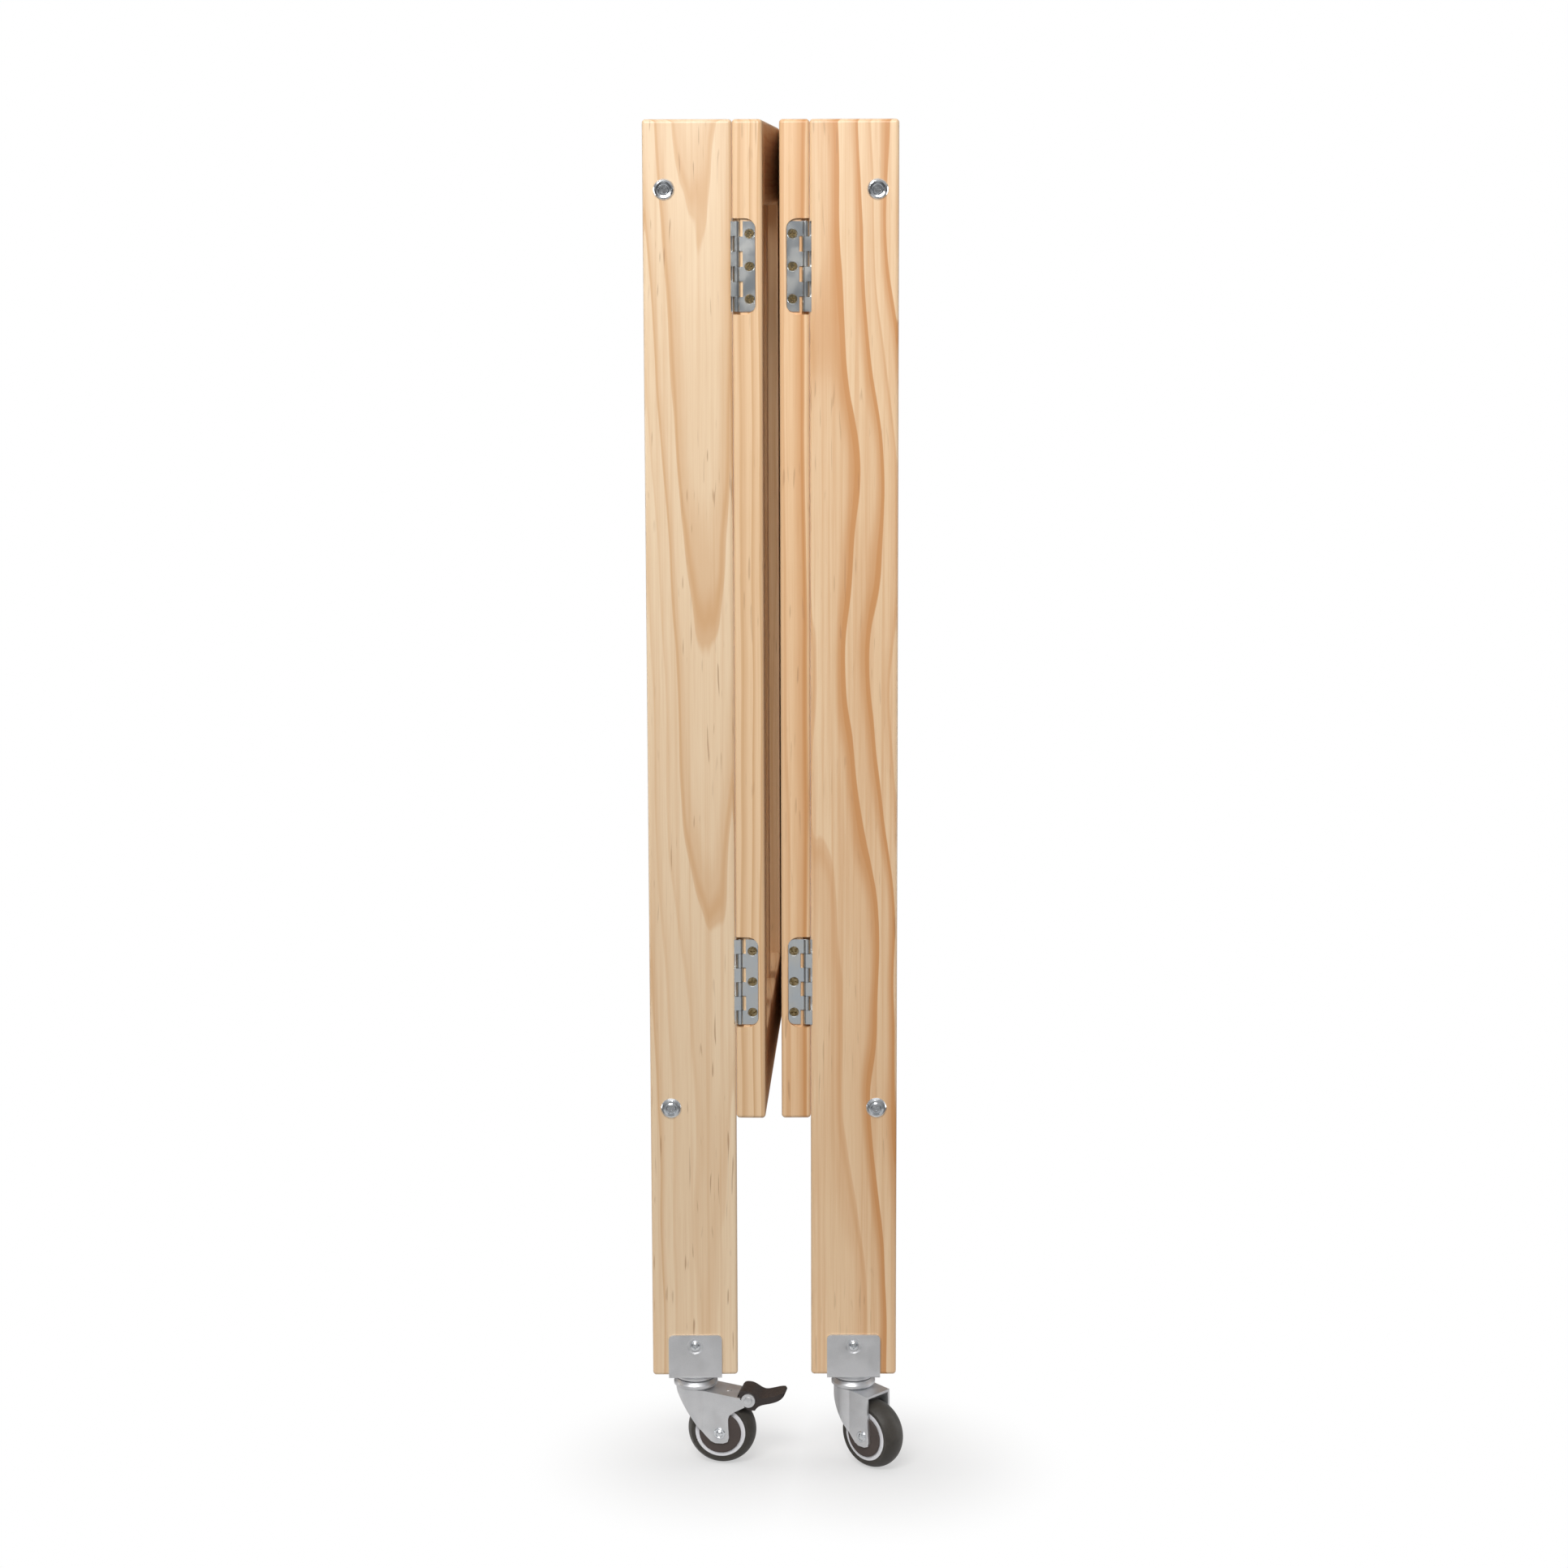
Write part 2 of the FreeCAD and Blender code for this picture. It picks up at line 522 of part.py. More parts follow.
def fork(braked):
    """Pressed steel fork with its lower race."""
    shell = fork_plan(0).common(fork_profile(braked))
    shell = shell.cut(fork_plan(FORK_WALL).common(fork_roof(braked, FORK_WALL)))
    inside = FORK_HALF_WIDTH - FORK_WALL
    if braked:
        shell = shell.cut(box(BRAKE_PLATE_END, 60, -inside, inside, 0, CASTER_HEIGHT))
        rivet = lathe([(0, 0), (3.0, 0), (2.6, 0.8), (0, 1.2)])
        shell = shell.fuse(rivet.translated(Vector(24.5, 0, WHEEL_RADIUS + 29.3)))
    top = CASTER_HEIGHT - RACE_DROP - RACE_GAP
    race = lathe([
        (0, FORK_TOP - 1), (13.0, FORK_TOP - 1), (14.6, FORK_TOP), (LOWER_RACE_RADIUS, FORK_TOP + 1.4),
        (LOWER_RACE_RADIUS, FORK_TOP + 3.2), (15.4, FORK_TOP + 4.4), (14.2, top), (0, top),
    ])
    shell = shell.fuse(race)
    shell = shell.cut(rod(KINGPIN_RADIUS + KINGPIN_PLAY, (0, 0, 40), (0, 0, 1), 40))
    shell = shell.cut(rod(AXLE_RADIUS, (TRAIL, -20, WHEEL_RADIUS), (0, 1, 0), 40))
    if braked:
        x, z = BRAKE_PIVOT
        shell = shell.fuse(rod(BRAKE_PIVOT_RADIUS, (x, -12, z), (0, 1, 0), 24))
        for side in (-1, 1):
            cap = lathe([(0, 0), (3.3, 0), (2.7, 0.9), (0, 1.3)])
            shell = shell.fuse(aim(cap, (x, side * FORK_HALF_WIDTH, z), (0, side, 0)))
    return shell.removeSplitter()


def axle():
    """Riveted axle with a domed head on each side of the fork."""
    half = FORK_HALF_WIDTH
    pin = rod(AXLE_RADIUS, (TRAIL, -half, WHEEL_RADIUS), (0, 1, 0), 2 * half)
    for side in (-1, 1):
        head = lathe([(0, 0), (4.3, 0), (4.3, 0.5), (3.7, 1.0), (2.9, 1.0), (2.6, 0.8), (1.6, 1.5), (0, 1.8)])
        pin = pin.fuse(aim(head, (TRAIL, side * half, WHEEL_RADIUS), (0, side, 0)))
    return pin


def wheel_ring(profile, arc=None):
    """A ring about the axle from (radius, across) points; arc bulges the last side outwards."""
    corners = [Vector(r, 0, a) for r, a in profile]
    edges = Part.makePolygon(corners).Edges
    if arc:
        edges.append(Part.Arc(corners[-1], Vector(arc, 0, 0), corners[0]).toShape())
    else:
        edges.append(Part.makeLine(corners[-1], corners[0]))
    solid = Part.Face(Part.Wire(edges)).revolve(Vector(0, 0, 0), UP, 360)
    return aim(solid, (TRAIL, 0, WHEEL_RADIUS), (0, 1, 0))


def tyre():
    side, shoulder = TYRE_HALF_WIDTH, CORE_RADIUS + 2.9
    seat = [(CORE_RADIUS, side - 0.4), (CORE_RADIUS, -side + 0.4)]
    return wheel_ring([(shoulder, side)] + seat + [(shoulder, -side)], WHEEL_RADIUS)


def core():
    """Moulded wheel centre: a hub and a rim joined by a web."""
    hub, rim, web, bore = 9.4, 9.0, 2.5, AXLE_RADIUS + AXLE_PLAY
    return wheel_ring([
        (bore, hub), (6.5, hub), (6.5, web), (CORE_RIM, web), (CORE_RIM, rim), (CORE_RADIUS, rim),
        (CORE_RADIUS, -rim), (CORE_RIM, -rim), (CORE_RIM, -web), (6.5, -web), (6.5, -hub), (bore, -hub),
    ])


def guards():
    """Thin thread guards between the wheel and the fork's two sides."""
    inner, outer = GUARD_INNER_FACE, FORK_HALF_WIDTH - FORK_WALL
    discs = []
    for side in (-1, 1):
        disc = lathe([
            (AXLE_RADIUS, inner), (GUARD_RADIUS, inner), (GUARD_RADIUS, inner + 0.4),
            (GUARD_RADIUS - 0.8, outer), (AXLE_RADIUS, outer),
        ])
        discs.append(aim(disc, (TRAIL, 0, WHEEL_RADIUS), (0, side, 0)))
    return group(discs)


def curve(points):
    """A smooth edge through (x, height above the axle) points."""
    spline = Part.BSplineCurve()
    spline.interpolate([Vector(x, 0, z + WHEEL_RADIUS) for x, z in points])
    return spline.toShape()


def pedal():
    """Brake pedal: a domed back over the pivot, a cam that nears the tread when pressed, and a round toe."""
    x, z = BRAKE_PIVOT
    half = PEDAL_HALF_WIDTH
    top = [
        (36.0, 33.0), (39.5, 33.5), (43.5, 32.6), (47.4, 30.4), (51.2, 28.7), (56.6, 29.3), (62.5, 30.9),
        (67.2, 32.2),
    ]
    under = [(68.6, 31.2), (66.6, 28.4), (62.5, 26.2), (56.6, 24.3), (50.9, 22.7), (46.6, 18.6)]
    back = [(46.6, 18.6), (41.9, 18.6), (37.4, 20.9), (34.6, 24.3), (34.6, 31.4), (36.0, 33.0)]
    straight = Part.makePolygon([Vector(a, 0, b + WHEEL_RADIUS) for a, b in back])
    tip = Part.makePolygon([Vector(a, 0, b + WHEEL_RADIUS) for a, b in (top[-1], under[0])])
    outline = Part.Wire([curve(top)] + tip.Edges + [curve(under)] + straight.Edges)
    body = Part.Face(outline).extrude(Vector(0, 2 * half, 0)).translated(Vector(0, -half, 0))
    plan = box(30, 69, -half, half, 0, CASTER_HEIGHT)
    corners = [e for e in plan.Edges if e.BoundBox.XMin > 68 and e.BoundBox.ZLength > 9]
    plan = plan.makeFillet(PEDAL_TOE_RADIUS, corners)
    body = body.common(plan)
    lean = atan2(WHEEL_RADIUS - z, TRAIL - x) + radians(BRAKE_PRESS)
    out = BRAKE_CAM_REACH - BRAKE_CAM_RADIUS
    cam = rod(BRAKE_CAM_RADIUS, (x + out * cos(lean), -8, z + out * sin(lean)), (0, 1, 0), 16)
    body = body.fuse(rod(5.0, (x, -half, z), (0, 1, 0), 2 * half)).fuse(cam).removeSplitter()
    return body.cut(rod(BRAKE_PIVOT_RADIUS + AXLE_PLAY, (x, -20, z), (0, 1, 0), 40))


def caster(braked):
    parts = {"fork": fork(braked), "axle": axle(), "thread_guards": guards()}
    parts.update({"tyre": tyre(), "wheel_core": core()})
    if braked:
        parts["brake_pedal"] = pedal()
    return parts


# Placing

def side_placement(side, yaw):
    """Turns a side's plan coordinates by yaw about its hinge axis and puts that axis in its place."""
    return FreeCAD.Placement(Vector(side * AXIS_X, 0, 0), FreeCAD.Rotation(UP, yaw))


def placed(shape, placement):
    moved = shape.copy()
    moved.Placement = placement.multiply(moved.Placement)
    return moved


def mirrored(shape):
    return shape.mirror(Vector(0, 0, 0), Vector(1, 0, 0))


def to_local(side, yaw, point):
    """A point of the table in the plan coordinates of a side turned by yaw."""
    local = side_placement(side, yaw).inverse().multVec(Vector(point[0], point[1], 0))
    return (local.x * -side, local.y)


def mid_axis_point():
    """The middle hinge axis: between the gates' inner faces at their far ends."""
    far_right = AXIS_X - GATE_INNER
    corner = side_placement(-1, LEFT_GATE_YAW).multVec(Vector(GATE_INNER, GATE_FAR, 0))
    return ((far_right + corner.x) / 2, GATE_FAR + MID_AXIS_BEYOND)


CASTERS = {
    "left_front": (LEFT_CASTER_HEADING, True),
    "left_rear": (REAR_CASTER_HEADING, False),
    "right_front": (RIGHT_CASTER_HEADING, False),
    "right_rear": (REAR_CASTER_HEADING, True),
}


def swivel_axis(corner):
    """Where a corner's swivel axis stands, in the table's plan before it is centred."""
    side_name, end = corner.split("_")
    x, y = swivel_points()[end]
    if side_name == "left":
        return side_placement(-1, LEFT_FRAME_YAW).multVec(Vector(x, y, 0))
    return side_placement(1, RIGHT_FRAME_YAW).multVec(Vector(-x, y, 0))


def assembly():
    mid = mid_axis_point()
    parts = {}
    left = side_placement(-1, LEFT_FRAME_YAW)
    right = side_placement(1, RIGHT_FRAME_YAW)
    for name, shape in leg_frame(0).items():
        parts["left_" + name] = placed(shape, left)
    for name, shape in leg_frame(1).items():
        parts["right_" + name] = placed(mirrored(shape), right)
    left_mid = to_local(-1, LEFT_GATE_YAW, mid)
    right_mid = to_local(1, RIGHT_GATE_YAW, mid)
    for name, shape in gate(0, left_mid, 0).items():
        parts["left_gate_" + name] = placed(shape, side_placement(-1, LEFT_GATE_YAW))
    for name, shape in gate(1, right_mid, 1).items():
        parts["right_gate_" + name] = placed(mirrored(shape), side_placement(1, RIGHT_GATE_YAW))
    kinds = {braked: caster(braked) for braked in (False, True)}
    for corner, (heading, braked) in CASTERS.items():
        stand = FreeCAD.Placement(swivel_axis(corner), FreeCAD.Rotation(UP, heading))
        for name, shape in kinds[braked].items():
            parts[corner + "_" + name] = placed(shape, stand)
    return parts


def centring(parts):
    """The move that puts the origin under the centre of the bounding box."""
    bounds = FreeCAD.BoundBox()
    for shape in parts.values():
        bounds.add(shape.optimalBoundingBox(False))
    return Vector(-bounds.Center.x, -bounds.Center.y, 0)


def main():
    os.makedirs("parts", exist_ok=True)
    parts = assembly()
    move = centring(parts)
    for name, shape in parts.items():
        shape.translated(move).exportStep(os.path.join("parts", name + ".step"))
    print(len(parts), "parts; centring move", round(move.x, 4), round(move.y, 4))


if __name__ == "__main__":
    main()
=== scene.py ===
"""The folding table on casters in a white studio: materials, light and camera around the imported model.

Metres, +Z up, -Y towards the camera. Every wooden piece has growth rings of its own, turned about a pith
line that runs beside it, so that faces, edges and end grain agree.
"""

import json
import math
import random

import bpy
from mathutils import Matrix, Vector


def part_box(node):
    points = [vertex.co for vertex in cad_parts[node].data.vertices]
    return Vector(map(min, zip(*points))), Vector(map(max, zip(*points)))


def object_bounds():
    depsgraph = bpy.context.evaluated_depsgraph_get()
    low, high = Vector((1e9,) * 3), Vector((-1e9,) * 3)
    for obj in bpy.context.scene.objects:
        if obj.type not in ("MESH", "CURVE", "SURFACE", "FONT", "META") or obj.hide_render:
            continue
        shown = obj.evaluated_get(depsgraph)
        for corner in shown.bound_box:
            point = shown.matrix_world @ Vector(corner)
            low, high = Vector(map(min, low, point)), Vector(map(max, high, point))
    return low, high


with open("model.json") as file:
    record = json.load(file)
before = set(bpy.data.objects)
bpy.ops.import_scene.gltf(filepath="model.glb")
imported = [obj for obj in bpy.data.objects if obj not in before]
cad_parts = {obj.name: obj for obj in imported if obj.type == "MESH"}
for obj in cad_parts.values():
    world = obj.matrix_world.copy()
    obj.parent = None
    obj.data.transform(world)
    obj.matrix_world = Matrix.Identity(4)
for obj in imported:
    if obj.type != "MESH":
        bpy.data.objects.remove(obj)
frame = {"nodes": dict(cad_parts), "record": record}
cad_low, cad_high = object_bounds()
random.seed(11)

# Camera: a long lens a little below the top of the posts, tilted down; its angles are in degrees
FRAME_PIXELS = 1932
FOCAL_PIXELS = 3969.0
SENSOR = 36.0
CAMERA_DISTANCE = 2.290  # to the front faces of the posts
CAMERA_BELOW_TOP = 0.053
CAMERA_RIGHT = 0.0093  # of the middle of the front posts
CAMERA_TILT = 8.80
CAMERA_ROLL = 0.15
LENS_DROP = -0.0573  # lens shift, as a part of the picture's width

# Where each caster's shadow on the floor begins to fade, and where it has gone
SHADOW_REACH = {
    "left_front": (0.01, 0.155),
    "right_front": (0.01, 0.155),
    "left_rear": (0.01, 0.03),
    "right_rear": (0.01, 0.03),
}
CONTACT_WHITE = 0.52  # share of plain white in the floor right at a caster

FLOOR_SIZE = 24.0  # each way

# Between these distances from the middle, the floor's reflectance falls from the first value to the second
FLOOR_FADE = (0.22, 0.7)
FLOOR_ALBEDO = (0.64, 0.16)

# World light from straight down (0) over the horizon (0.5) to straight up (1)
SKY_LEVELS = [(0.0, 0.20), (0.46, 0.20), (0.54, 0.34), (0.68, 0.55), (1.0, 0.85)]
SKY_STRENGTH = 0.62
SKY_BLUE = 1.01  # blue over red and green

# Lamp power in watts
KEY_POWER = 31.0
OVERHEAD_POWER = 8.0
LOW_CARD_POWER = 0.7
SIDE_POWER = 6.0


# Node trees

class Shader:
    """A material's node tree, with short calls for the nodes used here."""

    def __init__(self, name):
        self.material = bpy.data.materials.new(name)
        self.material.use_nodes = True
        self.tree = self.material.node_tree
        self.bsdf = self.tree.nodes["Principled BSDF"]

    def add(self, kind, **settings):
        node = self.tree.nodes.new(kind)
        for key, value in settings.items():
            setattr(node, key, value)
        return node

    def feed(self, socket, value):
        if isinstance(value, bpy.types.NodeSocket):
            self.tree.links.new(value, socket)
        elif socket.type == "RGBA" and len(value) == 3:
            socket.default_value = (*value, 1.0)
        else:
            socket.default_value = value

    def set(self, **values):
        """Sets or links sockets of the Principled shader; an underscore in a key stands for a space."""
        for key, value in values.items():
            self.feed(self.bsdf.inputs[key.replace("_", " ")], value)

    def math(self, operation, a, b=0.0):
        node = self.add("ShaderNodeMath", operation=operation)
        self.feed(node.inputs[0], a)
        self.feed(node.inputs[1], b)
        return node.outputs[0]

    def vector(self, operation, a, b=(0.0, 0.0, 0.0)):
        node = self.add("ShaderNodeVectorMath", operation=operation)
        self.feed(node.inputs[0], a)
        self.feed(node.inputs[1], b)
        return node.outputs["Value" if operation == "LENGTH" else "Vector"]

    def place(self):
        """The shaded point in the object's own frame, which is the table's frame at rest."""
        return self.add("ShaderNodeTexCoord").outputs["Object"]

    def split(self, vector):
        node = self.add("ShaderNodeSeparateXYZ")
        self.feed(node.inputs[0], vector)
        return node.outputs

    def join(self, x, y, z):
        node = self.add("ShaderNodeCombineXYZ")
        for socket, value in zip(node.inputs, (x, y, z)):
            self.feed(socket, value)
        return node.outputs[0]

    def scaled(self, parts, scales):
        """A vector of three parts, each multiplied by its own scale."""
        return self.join(*(self.math("MULTIPLY", part, scale) for part, scale in zip(parts, scales)))

    def noise_node(self, vector, scale=1.0, detail=2.0, roughness=0.5):
        node = self.add("ShaderNodeTexNoise")
        self.feed(node.inputs["Vector"], vector)
        self.feed(node.inputs["Scale"], scale)
        self.feed(node.inputs["Detail"], detail)
        self.feed(node.inputs["Roughness"], roughness)
        return node

    def noise(self, *settings):
        return self.noise_node(*settings).outputs["Fac"]

    def spread(self, value, low, high, to_low=0.0, to_high=1.0):
        """Maps low..high smoothly to to_low..to_high."""
        node = self.add("ShaderNodeMapRange", interpolation_type="SMOOTHSTEP")
        for socket, number in zip(node.inputs, (value, low, high, to_low, to_high)):
            self.feed(socket, number)
        return node.outputs[0]

    def ramp(self, value, stops):
        """Grey level by value, eased between (position, level) stops."""
        node = self.add("ShaderNodeValToRGB")
        node.color_ramp.interpolation = "EASE"
        while len(node.color_ramp.elements) < len(stops):
            node.color_ramp.elements.new(0.5)
        for element, (position, level) in zip(node.color_ramp.elements, stops):
            element.position = position
            element.color = (level, level, level, 1.0)
        self.feed(node.inputs[0], value)
        return node.outputs["Color"]

    def mix(self, factor, a, b):
        node = self.add("ShaderNodeMix", data_type="RGBA")
        self.feed(node.inputs["Factor"], factor)
        self.feed(node.inputs["A"], a)
        self.feed(node.inputs["B"], b)
        return node.outputs["Result"]

    def bump(self, height, distance, strength=1.0):
        node = self.add("ShaderNodeBump")
        self.feed(node.inputs["Height"], height)
        self.feed(node.inputs["Distance"], distance)
        self.feed(node.inputs["Strength"], strength)
        self.feed(self.bsdf.inputs["Normal"], node.outputs[0])


# Wood

# Linear colours: early wood, late wood and the dark dashes of resin canals
PALE = (0.785, 0.618, 0.425)
WARM = (0.78, 0.54, 0.325)
LATE_PALE = (0.60, 0.36, 0.18)
LATE_WARM = (0.56, 0.27, 0.10)
FLECK = (0.30, 0.15, 0.07)

# How dark a growth ring gets from its inside (0) to its outside (1)
RING_PROFILE = [(0.0, 0.0), (0.42, 0.10), (0.74, 0.55), (0.88, 1.0), (0.955, 0.75), (1.0, 0.0)]

# Shine of the lacquer: the gates have less than the leg frames
FRAME_COAT = 0.6
NEAR_STILE_COAT = 0.2
GATE_COAT = 0.15


def pine(name, centre, pith, ring, light, late, depth, sway, flecks, seed, lean=(0.0, 0.0),
         sway_length=0.45, grain="Z", coat=FRAME_COAT):
    """Lacquered pine, of early wood light and late wood late.

    pith is where the pith line runs beside centre, across the grain, and ring is the mean width of a growth
    ring; depth is the rings' strength. lean tilts the pith line along the grain, and sway makes it wander.
    """
    s = Shader(name)
    offset = s.vector("SUBTRACT", s.place(), tuple(centre))
    x, y, z = s.split(offset)
    across, deep, along = (x, z, y) if grain == "Y" else (x, y, z)
    far = s.math("ADD", along, seed)

    def stretched(across_scale, along_scale):
        return s.scaled((across, deep, far), (across_scale, across_scale, along_scale))

    # Distance from the pith line, which wanders slowly and ripples a little
    wander = s.noise_node(stretched(9.0, 1.0 / sway_length), 1.0, 2.0, 0.45).outputs["Color"]
    wander = s.vector("SUBTRACT", wander, (0.5, 0.5, 0.5))
    wander = s.vector("MULTIPLY", wander, (sway * 2, sway * 2, 0.0))
    ripple = s.math("MULTIPLY", s.math("SUBTRACT", s.noise(stretched(60.0, 7.0), 1.0, 2.0), 0.5), 0.0022)
    ring_x = s.math("SUBTRACT", s.math("ADD", across, s.math("MULTIPLY", along, lean[0])), pith[0])
    ring_y = s.math("SUBTRACT", s.math("ADD", deep, s.math("MULTIPLY", along, lean[1])), pith[1])
    spoke = s.vector("ADD", s.join(ring_x, ring_y, 0.0), wander)
    radius = s.math("ADD", s.vector("LENGTH", spoke), ripple)

    # Growth rings of uneven width and strength
    years = s.math("DIVIDE", radius, ring)
    uneven = s.noise(s.join(years, seed, 0.0), 0.37, 1.0)
    years = s.math("ADD", years, s.math("MULTIPLY", uneven, 1.6))
    late_wood = s.ramp(s.math("FRACT", years), RING_PROFILE)
    year_tone = s.noise(s.join(s.math("FLOOR", years), seed, 0.5), 0.9, 0.0)
    amount = s.math("MULTIPLY", late_wood, s.spread(year_tone, 0.3, 0.75, 0.30 * depth, depth))

    # Broad clouds, then rings, fibres, streaks and resin canals on top
    broad = s.spread(s.noise(stretched(22.0, 1.6), 1.0, 2.0), 0.3, 0.72)
    colour = s.mix(s.math("MULTIPLY", broad, 0.30), light, s.mix(0.55, light, late))
    colour = s.mix(s.math("MINIMUM", amount, 1.0), colour, late)
    fibre = s.noise(stretched(1300.0, 22.0), 1.0, 3.0, 0.6)
    colour = s.mix(s.spread(fibre, 0.35, 0.8, 0.0, 0.22), colour, late)
    streak = s.noise(stretched(330.0, 2.6), 1.0, 3.0, 0.6)
    colour = s.mix(s.spread(streak, 0.42, 0.74, 0.0, 0.38), colour, late)
    dash = s.noise(stretched(520.0, 42.0), 1.0, 0.0)
    patch = s.spread(s.noise(stretched(45.0, 9.0), 1.0, 1.0), 0.42, 0.62)
    canal = s.math("MULTIPLY", s.spread(dash, 0.70, 0.80), patch)
    colour = s.mix(s.math("MULTIPLY", canal, flecks), colour, FLECK)

    smear = s.noise(offset, 35.0, 3.0)
    s.set(Base_Color=colour, Roughness=s.spread(smear, 0.3, 0.75, 0.34, 0.46))
    s.set(Coat_Weight=coat, Coat_Roughness=0.38, Coat_IOR=1.45, Specular_IOR_Level=0.45)
    grain_height = s.math("ADD", s.math("MULTIPLY", fibre, 0.5), s.math("MULTIPLY", late_wood, 0.6))
    s.bump(grain_height, 0.00012, 0.35)
    return s.material


# Metals: the noise scales are in repeats per metre

def sheet_zinc(name):
    """Matt electroplated steel: a fine speckle, soft clouds and a few darker rubbed stains."""
    colour, rough, stain = (0.77, 0.78, 0.80), (0.32, 0.48), 0.32
    s = Shader(name)
    here = s.place()
    speckle = s.noise(here, 1900.0, 2.0)
    cloud = s.spread(s.noise(here, 75.0, 3.0), 0.32, 0.72)
    rubbed = s.spread(s.noise(s.vector("ADD", here, (3.1, 1.7, 0.4)), 48.0, 2.0), 0.52, 0.70)
    darker = tuple(c * 0.66 for c in colour)
    base = s.mix(s.math("MULTIPLY", cloud, 0.35), colour, tuple(c * 0.86 for c in colour))
    base = s.mix(s.math("MULTIPLY", rubbed, stain), base, darker)
    base = s.mix(s.spread(speckle, 0.35, 0.7, 0.0, 0.16), base, darker)
    s.set(Base_Color=base, Metallic=0.88, Roughness=s.spread(cloud, 0.0, 1.0, *rough))
    s.bump(speckle, 0.00003, 0.5)
    return s.material


def bright_zinc(name, colour=(0.80, 0.83, 0.86), rough=(0.10, 0.22)):
    """Bright plated steel with faint handling marks."""
    s = Shader(name)
    here = s.place()
    marks = s.noise(here, 420.0, 3.0, 0.6)
    haze = s.spread(s.noise(here, 130.0, 2.0), 0.35, 0.7)
    base = s.mix(s.math("MULTIPLY", haze, 0.4), colour, tuple(c * 0.82 for c in colour))
    s.set(Base_Color=base, Metallic=1.0, Roughness=s.spread(marks, 0.3, 0.75, *rough))
    s.bump(marks, 0.00004, 0.35)
    return s.material


def hinge_zinc(name):
    """Bluish passivated hinge plate, slightly mottled and faintly rolled along its length."""
    s = Shader(name)
    here = s.place()
    rolled = s.noise(s.scaled(s.split(here), (2600.0, 2600.0, 60.0)), 1.0, 2.0)
    mottle = s.spread(s.noise(here, 70.0, 2.0, 0.5), 0.30, 0.72)
    base = s.mix(mottle, (0.68, 0.73, 0.77), (0.80, 0.81, 0.79))
    base = s.mix(s.spread(rolled, 0.4, 0.75, 0.0, 0.15), base, (0.50, 0.53, 0.57))
    s.set(Base_Color=base, Metallic=1.0, Roughness=s.spread(mottle, 0.0, 1.0, 0.21, 0.27))
    s.bump(rolled, 0.00002, 0.3)
    return s.material


def yellow_zinc(name):
    """Yellow-passivated screw heads, darker in random spots."""
    s = Shader(name)
    tint = s.spread(s.noise(s.place(), 600.0, 2.0), 0.35, 0.68)
    base = s.mix(tint, (0.44, 0.35, 0.20), (0.20, 0.14, 0.06))
    s.set(Base_Color=base, Metallic=1.0, Roughness=s.spread(tint, 0.0, 1.0, 0.20, 0.34))
    s.bump(tint, 0.00005, 0.4)
    return s.material


# Rubber and plastics

def rubber(name):
    """Soft grey-brown tread with moulding grain and a little dust."""
    s = Shader(name)
    here = s.place()
    grain = s.noise(here, 1500.0, 2.0)
    dust = s.spread(s.noise(here, 85.0, 4.0, 0.6), 0.42, 0.75)
    base = s.mix(s.math("MULTIPLY", dust, 0.35), (0.030, 0.026, 0.021), (0.075, 0.066, 0.055))
    s.set(Base_Color=base, Roughness=s.spread(grain, 0.3, 0.7, 0.46, 0.62), Specular_IOR_Level=0.45)
    s.set(Sheen_Weight=0.12, Sheen_Roughness=0.5)
    s.bump(grain, 0.00008, 0.5)
    return s.material


def moulded(name, colour, rough, grain_size=900.0, relief=0.00006):
    """Moulded plastic with a fine texture and a faint change of tone."""
    s = Shader(name)
    here = s.place()
    grain = s.noise(here, grain_size, 2.0)
    tone = s.spread(s.noise(here, 60.0, 3.0), 0.3, 0.7)
    base = s.mix(s.math("MULTIPLY", tone, 0.3), colour, tuple(c * 0.72 for c in colour))
    s.set(Base_Color=base, Roughness=s.spread(grain, 0.3, 0.7, rough, rough + 0.14))
    s.bump(grain, relief, 0.5)
    return s.material


# Handing the materials out

def middle(node):
    low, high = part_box(node)
    return (low + high) / 2


def dress(node, material):
    piece = frame["nodes"][node]
    piece.data.materials.clear()
    piece.data.materials.append(material)


def dress_front_wood():
    """The pieces whose faces are seen from the narrow end, each with its own figure."""
    figures = {
        "left_front_post": dict(
            pith=(0.012, 0.046), ring=0.0042, light=PALE, late=LATE_PALE, depth=1.25, sway=0.009,
            lean=(0.008, 0.016), flecks=0.6, seed=3.1,
        ),
        "right_front_post": dict(
            pith=(-0.030, 0.052), ring=0.0078, light=(0.78, 0.575, 0.365), late=LATE_WARM, depth=1.8,
            sway=0.021, sway_length=0.34, lean=(0.02, -0.012), flecks=0.35, seed=7.7,
        ),
        "left_gate_near_stile": dict(
            pith=(0.060, 0.030), ring=0.0052, light=(0.78, 0.56, 0.35), late=LATE_PALE, depth=1.1,
            sway=0.006, flecks=0.35, seed=1.3, coat=NEAR_STILE_COAT,
        ),
        "right_gate_near_stile": dict(
            pith=(-0.052, 0.036), ring=0.0075, light=WARM, late=LATE_WARM, depth=1.2,
            sway=0.008, flecks=0.35, seed=5.9, coat=NEAR_STILE_COAT,
        ),
    }
    for node, figure in figures.items():
        dress(node, pine("pine_" + node, middle(node), **figure))
    return set(figures)


